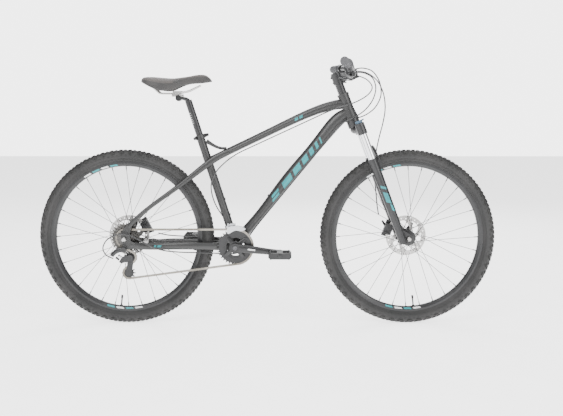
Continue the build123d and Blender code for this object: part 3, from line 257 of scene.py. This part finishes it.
# ---------------------------------------------------------------- mesh helpers
def piece(name, verts, faces, look, body, smooth=True, replaces=(), slot=None):
    """A mesh object that rides on a body, with its normals made to agree."""
    mesh = bpy.data.meshes.new(name)
    mesh.from_pydata([tuple(v) for v in verts], [], faces)
    mesh.validate()
    edit = bmesh.new()
    edit.from_mesh(mesh)
    bmesh.ops.recalc_face_normals(edit, faces=edit.faces)
    edit.to_mesh(mesh)
    edit.free()
    obj = bpy.data.objects.new(name, mesh)
    bpy.context.scene.collection.objects.link(obj)
    mesh.materials.append(MATERIALS[look])
    if smooth:
        mesh.shade_smooth()
    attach(obj, body)
    if replaces:
        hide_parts(*replaces)
    return obj


def crease(obj, degrees=35):
    """Keeps edges sharper than an angle crisp on a smooth-shaded piece."""
    obj.data.set_sharp_from_angle(angle=math.radians(degrees))


def lathe(start, end, profile, segments=40):
    """Vertices and faces of a shape turned about a line, from (distance, radius) pairs."""
    axis = (end - start).normalized()
    side = axis.orthogonal().normalized()
    up = axis.cross(side)
    verts = []
    for distance, radius in profile:
        for i in range(segments):
            angle = 2 * math.pi * i / segments
            verts.append(start + axis * distance + (side * math.cos(angle) + up * math.sin(angle)) * radius)
    faces = []
    for ring in range(len(profile) - 1):
        for i in range(segments):
            a = ring * segments + i
            b = ring * segments + (i + 1) % segments
            faces.append((a, b, b + segments, a + segments))
    faces.append(tuple(range(segments)))
    last = (len(profile) - 1) * segments
    faces.append(tuple(range(last + segments - 1, last - 1, -1)))
    return verts, faces


def merge(parts):
    """Several (vertices, faces) lists as one."""
    verts, faces = [], []
    for part_verts, part_faces in parts:
        offset = len(verts)
        verts += part_verts
        faces += [tuple(i + offset for i in face) for face in part_faces]
    return verts, faces


def socket_bolt(place, outward, radius=0.004, height=0.004):
    """A socket-head bolt: a chamfered head with a recess."""
    r, h = radius, height
    profile = [(0, r), (h * 0.85, r), (h, r * 0.88), (h, r * 0.55), (h * 0.3, r * 0.5)]
    return lathe(place, place + outward, profile, 18)


# ---------------------------------------------------------------- tyres
CASING_R = 0.3185
CASING_TUBE = 0.0235
KNOB_HEIGHT = 0.0026
TREAD_PITCHES = 116


def wheel_point(centre, radius, angle, y):
    """A point of a wheel, at an angle in the side view."""
    return centre + Vector((radius * math.cos(angle), y, radius * math.sin(angle)))


def casing(centre, segments=180):
    """The tyre's casing, from bead to bead."""
    section = [(0.0112, 0.2965), (0.0140, 0.2990)]
    section += [(CASING_TUBE * math.sin(math.radians(a)), CASING_R + CASING_TUBE * math.cos(math.radians(a)))
                for a in range(135, -136, -9)]
    section += [(-0.0140, 0.2990), (-0.0112, 0.2965)]
    count = len(section)
    verts = [wheel_point(centre, radius, 2 * math.pi * i / segments, y)
             for i in range(segments) for y, radius in section]
    faces = []
    for i in range(segments):
        j = (i + 1) % segments
        for k in range(count):
            m = (k + 1) % count
            faces.append((i * count + k, i * count + m, j * count + m, j * count + k))
    return verts, faces


def knob(centre, angle, lean, length, width, height=KNOB_HEIGHT, skew=0.0):
    """One tread block, tapered towards its top."""
    verts = []
    for level, scale in ((-0.0012, 1.0), (height, 0.82)):
        for along, across in ((-1, -1), (1, -1), (1, 1), (-1, 1)):
            tilt = lean + across * scale * width / (2 * CASING_TUBE)
            around = angle + (along * scale * length / 2 + across * skew) / 0.342
            radius = CASING_R + (CASING_TUBE + level) * math.cos(tilt)
            verts.append(wheel_point(centre, radius, around, (CASING_TUBE + level) * math.sin(tilt)))
    faces = [(0, 1, 2, 3), (4, 7, 6, 5)] + [(i, i + 4, (i + 1) % 4 + 4, (i + 1) % 4) for i in range(4)]
    return verts, faces


def tread(centre):
    """Centre, transition and shoulder knobs all round the tyre."""
    parts = []
    for i in range(TREAD_PITCHES):
        angle = 2 * math.pi * i / TREAD_PITCHES
        half = math.pi / TREAD_PITCHES
        if i % 2:
            parts.append(knob(centre, angle, 0.0, 0.0105, 0.0120, skew=0.001))
        else:
            parts += [knob(centre, angle, side * 0.21, 0.0095, 0.0055, skew=side * 0.002) for side in SIDES]
        for side in SIDES:
            parts.append(knob(centre, angle + half * 0.6, side * 0.60, 0.0090, 0.0075, skew=-side * 0.0015))
            parts.append(knob(centre, angle + half * (i % 2), side * 1.02, 0.0100, 0.0078, 0.0025))
            parts.append(knob(centre, angle - half * 0.5, side * 1.38, 0.0050, 0.0060, 0.0011))
    return merge(parts)


def sidewall_rings(centre):
    """Thin moulded rings above each bead."""
    parts = []
    for side in SIDES:
        for lean, size in ((1.95, 0.0006), (2.12, 0.0005)):
            radius = CASING_R + CASING_TUBE * math.cos(lean)
            y = side * CASING_TUBE * math.sin(lean)
            verts = []
            count = 160
            for i in range(count):
                angle = 2 * math.pi * i / count
                for dy, dr in ((0, size), (size * side, 0), (0, -size)):
                    verts.append(wheel_point(centre, radius + dr, angle, y + dy * 1.5))
            faces = []
            for i in range(count):
                j = (i + 1) % count
                faces += [(i * 3 + k, i * 3 + (k + 1) % 3, j * 3 + (k + 1) % 3, j * 3 + k) for k in range(3)]
            parts.append((verts, faces))
    return merge(parts)


def build_tyres():
    """Knobbly tyres in place of the plain CAD ones, and a valve on each rim."""
    for end, centre in WHEELS.items():
        body = WHEEL_BODY[end]
        piece(f"{end}_tyre_casing", *casing(centre), "tyre_side", body,
              replaces=(f"{end}_tyre",), slot="tyre")
        piece(f"{end}_tyre_tread", *tread(centre), "tyre", body, smooth=False, slot="tyre")
        piece(f"{end}_tyre_rings", *sidewall_rings(centre), "tyre_side", body, slot="tyre")
        angle = math.radians(-84 if end == "front" else -96)
        inner = wheel_point(centre, 0.2785, angle, 0)
        out = (centre - inner).normalized()
        profile = [(-0.001, 0.0055), (0.003, 0.0055), (0.003, 0.003), (0.030, 0.003), (0.030, 0.0042),
                   (0.041, 0.0042), (0.043, 0.003)]
        piece(f"{end}_valve", *lathe(inner, inner + out, profile, 20), "black_plastic", body)


# ---------------------------------------------------------------- cables
def bending_cable(node):
    """Stands in for a node's cable housings with a copy in the housing material, and hides the node."""
    obj = bpy.data.objects.new(f"bending_{node}", nodes[node].data.copy())
    bpy.context.scene.collection.objects.link(obj)
    obj.data.materials.clear()
    obj.data.materials.append(MATERIALS["cable_housing"])
    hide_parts(node)
    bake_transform(obj)


def build_cables():
    """The housings to the frame and the front brake's housing."""
    bending_cable("frame_cables")
    bending_cable("front_brake_cable")


# ---------------------------------------------------------------- saddle
SADDLE_TOP = ((-0.484, 0.957), (-0.474, 0.967), (-0.440, 0.9695), (-0.400, 0.967), (-0.360, 0.965),
              (-0.320, 0.970), (-0.262, 0.978), (-0.236, 0.976), (-0.221, 0.966), (-0.212, 0.955))
SADDLE_EDGE = ((-0.484, 0.951), (-0.470, 0.944), (-0.440, 0.929), (-0.415, 0.919), (-0.390, 0.9155),
               (-0.362, 0.919), (-0.335, 0.931), (-0.300, 0.942), (-0.250, 0.946), (-0.212, 0.951))
SADDLE_HALF = ((-0.484, 0.016), (-0.478, 0.045), (-0.462, 0.066), (-0.430, 0.076), (-0.395, 0.074),
               (-0.355, 0.057), (-0.315, 0.036), (-0.270, 0.023), (-0.232, 0.0185), (-0.212, 0.008))


COVER_INSET = 0.005
COVER_DEPTH = 0.011
SEAM_X = -0.357


def smooth_between(points, x):
    """The value at x of a smooth curve through (x, value) points."""
    for i in range(len(points) - 1):
        if x <= points[i + 1][0] or i == len(points) - 2:
            break
    (x0, v0), (x1, v1) = points[i], points[i + 1]
    before = points[i - 1] if i else points[i]
    after = points[i + 2] if i + 2 < len(points) else points[i + 1]
    t = min(max((x - x0) / (x1 - x0), 0), 1)
    m0 = (v1 - before[1]) / (x1 - before[0]) * (x1 - x0)
    m1 = (after[1] - v0) / (after[0] - x0) * (x1 - x0)
    return (2 * t ** 3 - 3 * t ** 2 + 1) * v0 + (t ** 3 - 2 * t ** 2 + t) * m0 + (
        3 * t ** 2 - 2 * t ** 3) * v1 + (t ** 3 - t ** 2) * m1


def saddle_surface(x, across):
    """A point of the saddle's cover: across runs from -1 at the right edge to 1 at the left."""
    half = smooth_between(SADDLE_HALF, x)
    top = smooth_between(SADDLE_TOP, x)
    edge = smooth_between(SADDLE_EDGE, x)
    angle = across * math.pi / 2
    y = half * math.copysign(abs(math.sin(angle)) ** 0.9, across)
    z = edge + (top - edge) * abs(math.cos(angle)) ** 0.62
    channel = math.exp(-(y / 0.011) ** 2) * math.exp(-((x + 0.37) / 0.075) ** 4)
    seam = math.exp(-((x - SEAM_X - 0.02 * abs(across)) / 0.0016) ** 2)
    return Vector((x, y, z - 0.0045 * channel - 0.0012 * seam))


def build_saddle():
    """The crowned cover with its channel and sewn seam, and the dark base under it."""
    rows, columns = 110, 56
    xs = [-0.484 + 0.272 * (0.5 - 0.5 * math.cos(math.pi * i / (rows - 1))) for i in range(rows)]
    outer = [[saddle_surface(x, -1 + 2 * j / (columns - 1)) for j in range(columns)] for x in xs]
    verts = [v for row in outer for v in row]
    for row in outer:
        lowest = row[0].z - 0.001
        for v in row:
            inward = -math.copysign(min(COVER_INSET, abs(v.y)), v.y)
            verts.append(Vector((v.x, v.y + inward, max(v.z - COVER_DEPTH, lowest))))
    total = rows * columns
    faces = []
    for i in range(rows - 1):
        for j in range(columns - 1):
            a, b = i * columns + j, i * columns + j + 1
            faces.append((a, b, b + columns, a + columns))
            faces.append((total + a, total + a + columns, total + b + columns, total + b))
        for j in (0, columns - 1):
            a = i * columns + j
            faces.append((a, a + columns, total + a + columns, total + a))
    for i in (0, rows - 1):
        for j in range(columns - 1):
            a = i * columns + j
            faces.append((a, a + 1, total + a + 1, total + a))
    cover = piece("saddle_cushion", verts, faces, "saddle_cover", "saddle", replaces=("saddle",),
                  slot="saddle_cover")
    cover.data.materials.append(MATERIALS["saddle_side"])
    for polygon in cover.data.polygons:
        centre = polygon.center
        share = abs(centre.y) / max(smooth_between(SADDLE_HALF, centre.x), 0.001)
        if share > 0.93 or centre.x > SEAM_X and share > 0.8:
            polygon.material_index = 1
    stitches(cover)


def stitches(cover):
    """Two rows of short stitches beside the saddle's cross seam."""
    parts = []
    for offset in (-0.0035, 0.0035):
        for i in range(-26, 27):
            across = i / 29
            x = SEAM_X + 0.02 * abs(across) + offset
            a = saddle_surface(x, across) + Vector((0, 0, 0.0004))
            b = saddle_surface(x, across + 0.02) + Vector((0, 0, 0.0004))
            length = (b - a).length
            profile = [(0, 0.0002), (length * 0.2, 0.0004), (length * 0.8, 0.0004), (length, 0.0002)]
            parts.append(lathe(a, b, profile, 6))
    piece("saddle_stitching", *merge(parts), "grey_ink", "saddle", slot="saddle_cover")


# ---------------------------------------------------------------- grips
BAR_BEND = Vector((0.316, 0.125, 1.008))
BAR_END = Vector((0.277, 0.358, 1.012))


def bar_point(y, side=1):
    """A point on the outer part of the handlebar at a distance from the middle."""
    share = (y - BAR_BEND.y) / (BAR_END.y - BAR_BEND.y)
    point = BAR_BEND.lerp(BAR_END, share)
    return Vector((point.x, side * point.y, point.z))


def build_grips():
    """Ribbed grips with a flange inboard and a rounded end."""
    parts = []
    for side in SIDES:
        start, end = bar_point(0.234, side), bar_point(0.361, side)
        length = (end - start).length
        profile = [(0, 0.0125), (0, 0.0178), (0.0035, 0.0182), (0.005, 0.0160)]
        ribs = 26
        for i in range(ribs):
            at = 0.007 + (length - 0.020) * i / ribs
            step = (length - 0.020) / ribs
            swell = 0.0008 * math.sin(math.pi * i / ribs)
            valley, ridge = 0.0143 + swell, 0.0154 + swell
            profile += [(at, valley), (at + step * 0.15, ridge)]
            profile += [(at + step * 0.62, ridge), (at + step * 0.78, valley)]
        profile += [(length - 0.011, 0.0160), (length - 0.003, 0.0162)]
        profile += [(length - 0.0008, 0.0150), (length, 0.0125)]
        parts.append(lathe(start, end, profile, 48))
    obj = piece("ribbed_grips", *merge(parts), "grip_rubber", "steering",
                replaces=("grips",), slot="grip_rubber")
    crease(obj, 50)


# ---------------------------------------------------------------- painted marks
def tree_of(node):
    """A search tree of a CAD node's triangles, in the row frame."""
    obj = nodes[node]
    mesh = obj.data
    verts = [obj.matrix_world @ v.co for v in mesh.vertices]
    return BVHTree.FromPolygons(verts, [tuple(p.vertices) for p in mesh.polygons])


def painted(name, node, outlines, look, body, sides=SIDES, lift=0.00025, rows=10, columns=6):
    """Thin marks that lie on a CAD surface: each outline is four (x, z) corners in the side view."""
    tree = tree_of(node)
    parts = []
    for side in sides:
        for corners in outlines:
            a, b, c, d = (Vector((x, 0, z)) for x, z in corners)
            verts, ok = [], True
            for i in range(rows + 1):
                for j in range(columns + 1):
                    u, v = i / rows, j / columns
                    target = a.lerp(b, u).lerp(d.lerp(c, u), v)
                    start = Vector((target.x, side * 0.3, target.z))
                    hit, normal, _, _ = tree.ray_cast(start, Vector((0, -side, 0)))
                    if hit is None:
                        ok = False
                        continue
                    normal = normal if normal.y * side > 0 else -normal
                    verts.append(hit + normal * lift)
            if not ok:
                continue
            width = columns + 1
            faces = [(i * width + j, i * width + j + 1, (i + 1) * width + j + 1, (i + 1) * width + j)
                     for i in range(rows) for j in range(columns)]
            parts.append((verts, faces))
    if parts:
        piece(name, *merge(parts), look, body)


def bars_along(start, end, marks):
    """Slanted four-cornered marks on a line: (from, to, low, high, slant) in metres along and across."""
    along = (end - start).normalized()
    across = Vector((-along.z, 0, along.x))
    outlines = []
    for begin, finish, low, high, slant in marks:
        corners = []
        for s, t in ((begin, low), (finish, low), (finish + slant, high), (begin + slant, high)):
            p = start + along * s + across * t
            corners.append((p.x, p.z))
        outlines.append(corners)
    return outlines


def build_marks():
    """Plain geometric paint marks: bars and chevrons with no lettering."""
    low, high = Vector((0.020, 0, 0.495)), Vector((0.215, 0, 0.733))
    lengths = (0.052, 0.040, 0.030, 0.021, 0.013, 0.007)
    body_marks = [(-0.006, 0.034, -0.010, -0.002, 0.006), (0.004, 0.044, 0.002, 0.010, 0.006)]
    at = 0.062
    for length in lengths:
        body_marks.append((at, at + length, -0.011, 0.011, 0.012))
        at += length + 0.014
    painted("down_tube_marks", "down_tube", bars_along(low, high, body_marks), "teal_ink", "frame")
    top_start, top_end = Vector((0.0, 0, 0.753)), Vector((0.130, 0, 0.815))
    top_marks = [(0.118, 0.132, -0.005, 0.005, 0.004), (0.138, 0.152, -0.005, 0.005, 0.004)]
    painted("top_tube_marks", "top_tube", bars_along(top_start, top_end, top_marks), "teal_ink", "frame")
    stay_start, stay_end = Vector((-0.490, 0, 0.317)), Vector((-0.380, 0, 0.315))
    stay_marks = [(0.050, 0.058, -0.004, 0.004, 0.003), (0.063, 0.078, -0.004, 0.004, 0.003)]
    painted("chainstay_marks", "rear_stays", bars_along(stay_start, stay_end, stay_marks),
            "teal_ink", "frame", sides=(DRIVE_SIDE,))
    leg_low, leg_high = Vector((0.515, 0, 0.372)), Vector((0.420, 0, 0.620))
    leg_marks = [(0.085, 0.110, -0.010, -0.002, 0.008), (0.118, 0.160, -0.008, 0.008, 0.012),
                 (0.176, 0.186, -0.009, 0.009, 0.012)]
    painted("fork_leg_marks", "fork_lowers", bars_along(leg_low, leg_high, leg_marks),
            "teal_ink", "fork_slider")


def build_small_marks():
    """A plain white bar on the right crank arm, and height graduations on the seatpost."""
    arm = bars_along(CRANK, CRANK + CRANK_REACH, [(0.050, 0.078, -0.003, 0.003, 0.0)])
    painted("crank_mark", "crank_arms", arm, "white_ink", "crank", sides=(DRIVE_SIDE,), columns=2)
    low, high = Vector((-0.286, 0, 0.790)), Vector((-0.306, 0, 0.852))
    lines = bars_along(low, high, [(0.008 * i, 0.008 * i + 0.0012, -0.004, 0.004, 0.0) for i in range(6)])
    painted("seatpost_marks", "seatpost", lines, "white_ink", "seatpost",
            sides=(DRIVE_SIDE,), rows=1, columns=4)


def rim_marks():
    """Short teal and white dashes on both sides of each rim."""
    for end, centre in WHEELS.items():
        for look, offset in (("teal_ink", 0.0), ("white_ink", 0.13)):
            outlines = []
            for start in (-math.pi / 2 - 0.3, math.pi / 2 + 0.1):
                for i in range(2):
                    a0 = start + offset + 0.26 * i
                    corners = []
                    for radius, turn in ((0.2825, 0), (0.2825, 0.10), (0.2885, 0.115), (0.2885, 0.015)):
                        p = wheel_point(centre, radius, a0 + turn, 0)
                        corners.append((p.x, p.z))
                    outlines.append(corners)
            painted(f"{end}_rim_{look}", f"{end}_rim", outlines, look, WHEEL_BODY[end])


# ---------------------------------------------------------------- small hardware
def build_hardware():
    """Stem and crank bolts, pedal pins, gear windows and cable ends."""
    clamp = Vector((0.330, 0, 0.978))
    ahead = Vector((0.964, 0, 0.266))
    up = Vector((-ahead.z, 0, ahead.x))
    bolts = [socket_bolt(clamp + ahead * 0.014 + up * (0.0145 * s) + Vector((0, y, 0)), ahead, 0.0033, 0.008)
             for s in (-1, 1) for y in (-0.0165, 0.0165)]
    steer = Vector((-0.3584, 0, 0.9336))
    back = Vector((-0.9336, 0, -0.3584))
    lug = Vector((0.2723, 0, 0.962))
    bolts += [socket_bolt(lug + steer * h + back * 0.0185 + Vector((0, -0.004, 0)), back, 0.0035, 0.004)
              for h in (-0.011, 0.011)]
    piece("stem_bolts", *merge(bolts), "bolt_steel", "steering", slot="black_alloy")
    caps = [socket_bolt(CRANK + Vector((0, side * 0.078, 0)), Vector((0, side, 0)), 0.0085, 0.0018)
            for side in SIDES]
    piece("crank_bolts", *merge(caps), "bolt_steel", "crank", slot="black_alloy")
    build_pedal_details()
    build_windows()
    build_cable_ends()


def build_pedal_details():
    """Grip pins along the pedals' edges, and an end cap on each."""
    for side, body in ((-1, "right_pedal"), (1, "left_pedal")):
        centre = CRANK - CRANK_REACH * side
        pins = []
        for face in SIDES:
            for edge in (-0.037, 0.037):
                for i in range(5):
                    place = centre + Vector((edge * 0.93, side * (0.092 + 0.0155 * i), face * 0.012))
                    profile = [(-0.001, 0.0021), (0.0022, 0.0019), (0.0028, 0.0012)]
                    pins.append(lathe(place, place + Vector((0, 0, face)), profile, 12))
        cap = centre + Vector((0, side * 0.1618, 0))
        profile = [(0, 0.0085), (0.0022, 0.0080), (0.0030, 0.0060)]
        pins.append(lathe(cap, cap + Vector((0, side, 0)), profile, 24))
        piece(f"{body}_pins", *merge(pins), "black_plastic", body, slot="black_plastic")


def build_windows():
    """The smoky gear window on each shifter."""
    parts = []
    for side in SIDES:
        base = Vector((0.318, side * 0.158, 0.986))
        profile = [(-0.002, 0.0125), (0.003, 0.0122), (0.0065, 0.0102), (0.0082, 0.0065)]
        parts.append(lathe(base, base + Vector((0.25, 0, 1)), profile, 32))
    piece("gear_windows", *merge(parts), "smoky_window", "steering")


def ferrule(end, inward, radius=0.0031, length=0.011):
    """A metal end cap on a cable housing."""
    profile = [(-0.001, radius * 0.8), (0, radius), (length, radius), (length + 0.0008, radius * 0.86)]
    return lathe(end, end + inward, profile, 20)


def build_cable_ends():
    """End caps where the housings meet the levers."""
    at_bar = []
    for y, z in ((0.150, 0.990), (0.140, 0.978)):
        for side in SIDES:
            end = Vector((0.318, side * y, z))
            at_bar.append(ferrule(end, Vector((0.8, -side * 0.6, 0.08)).normalized()))
    piece("lever_cable_ends", *merge(at_bar), "bolt_steel", "steering")


# ---------------------------------------------------------------- stage
FLOOR_GLOW = 2.2
BACKDROP_GLOW = 4.5
SOFT_LIGHT = 0.55


def build_world():
    """A white backdrop that is bright where the camera sees it and gentler as a light."""
    world = bpy.data.worlds.new("studio")
    world.use_nodes = True
    tree = world.node_tree
    light = tree.nodes["Background"]
    light.inputs["Color"].default_value = (0.95, 0.96, 0.97, 1)
    light.inputs["Strength"].default_value = SOFT_LIGHT
    backdrop = tree.nodes.new("ShaderNodeBackground")
    backdrop.inputs["Color"].default_value = (1, 1, 1, 1)
    backdrop.inputs["Strength"].default_value = BACKDROP_GLOW
    mix = tree.nodes.new("ShaderNodeMixShader")
    seen = tree.nodes.new("ShaderNodeLightPath")
    tree.links.new(seen.outputs["Is Camera Ray"], mix.inputs["Fac"])
    tree.links.new(light.outputs["Background"], mix.inputs[1])
    tree.links.new(backdrop.outputs["Background"], mix.inputs[2])
    tree.links.new(mix.outputs["Shader"], tree.nodes["World Output"].inputs["Surface"])
    bpy.context.scene.world = world


def build_stage():
    """A pale floor, soft studio lights and the camera."""
    floor = bpy.data.meshes.new("floor")
    size = 12.0
    corners = [(-size, -size, 0), (size, -size, 0), (size, size, 0), (-size, size, 0)]
    floor.from_pydata(corners, [], [(0, 1, 2, 3)])
    obj = bpy.data.objects.new("floor", floor)
    bpy.context.scene.collection.objects.link(obj)
    paper = surface("floor", (0.80, 0.80, 0.80), (0.84, 0.84, 0.84), (0.75, 0.85), 40, 0.02, specular=0.1)
    shader = paper.node_tree.nodes["Principled BSDF"]
    shader.inputs["Emission Color"].default_value = (1, 1, 1, 1)
    shader.inputs["Emission Strength"].default_value = FLOOR_GLOW
    floor.materials.append(paper)
    for name, place, aim, power, area in (
            ("key", (-1.6, -3.2, 3.4), (0, 0, 0.5), 190, 2.4),
            ("fill", (2.8, -2.6, 2.0), (0, 0, 0.5), 110, 2.4),
            ("rim", (0.6, 3.0, 2.8), (0, 0, 0.6), 120, 2.6),
            ("top", (0.0, 0.0, 4.0), (0, 0, 0), 90, 3.2)):
        light = bpy.data.lights.new(name, "AREA")
        light.energy = power
        light.size = area
        lamp = bpy.data.objects.new(name, light)
        lamp.location = place
        lamp.rotation_euler = (Vector(aim) - Vector(place)).to_track_quat("-Z", "Y").to_euler()
        bpy.context.scene.collection.objects.link(lamp)
    build_world()
    camera = bpy.data.cameras.new("camera")
    camera.lens = 56.6
    camera.sensor_width = 36.0
    eye = bpy.data.objects.new("camera", camera)
    eye.location = (0.071, -3.46, 0.854)
    eye.rotation_euler = (Vector((0.057, 0, 0.459)) - eye.location).to_track_quat("-Z", "Y").to_euler()
    bpy.context.scene.collection.objects.link(eye)
    bpy.context.scene.camera = eye


dress_cad()
build_tyres()
build_cables()
build_saddle()
build_grips()
build_marks()
build_small_marks()
rim_marks()
build_hardware()
build_stage()
